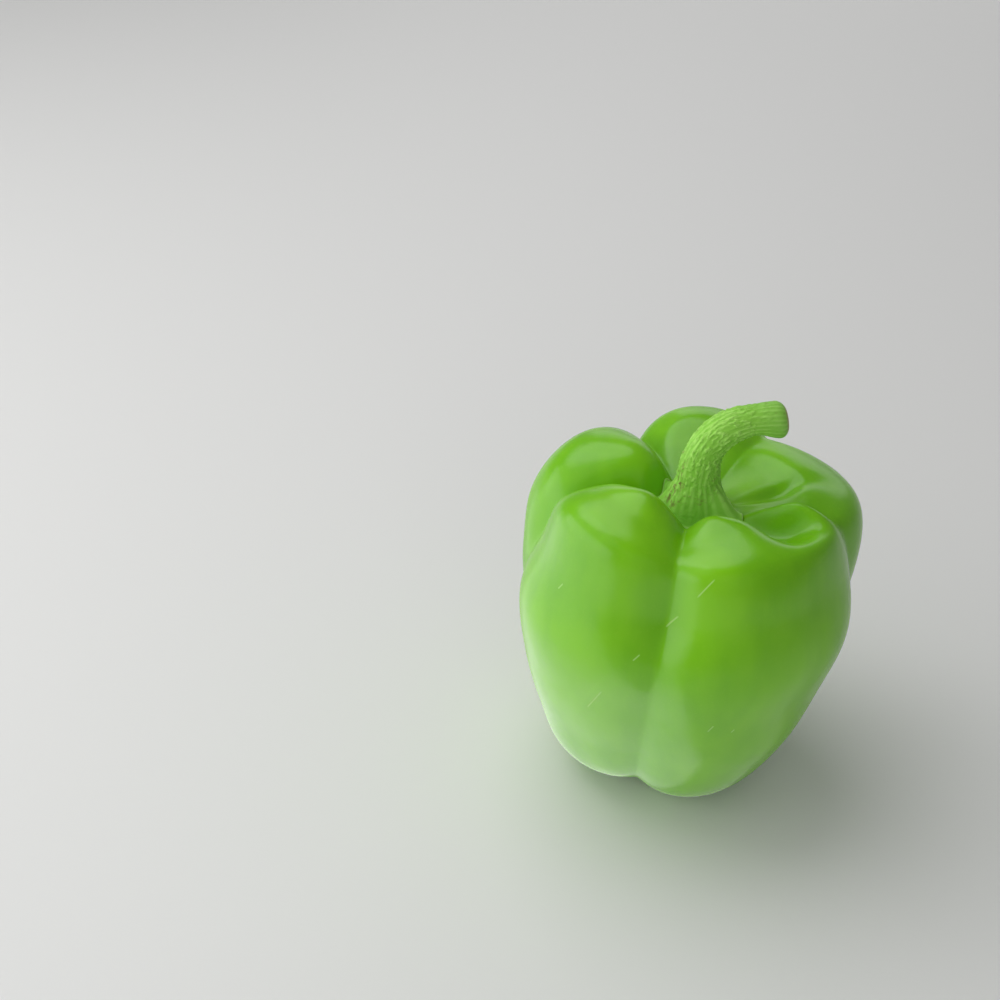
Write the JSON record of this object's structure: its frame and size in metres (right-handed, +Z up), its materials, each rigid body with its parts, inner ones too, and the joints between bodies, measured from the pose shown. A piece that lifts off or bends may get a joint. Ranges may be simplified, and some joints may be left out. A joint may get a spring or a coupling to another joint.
{
  "type": "bell pepper",
  "caption": "Whole green bell pepper with blocky lobes, soft grooves, and a curved ridged stem with its calyx.",
  "frame": {"origin": "on the ground, midway between the outermost points of the fruit", "axes": "+Z up towards the stem; -Y towards the viewer of the picture; +X to the viewer's right, the way the stem bends"},
  "size_m": [0.0858, 0.0878, 0.1088],
  "materials": {
    "skin": "smooth waxy green skin with a soft gloss",
    "stem": "rough green plant stem, satin"
  },
  "bodies": {
    "root": {"fruit": "skin", "stem": "stem"}
  },
  "joints": []
}
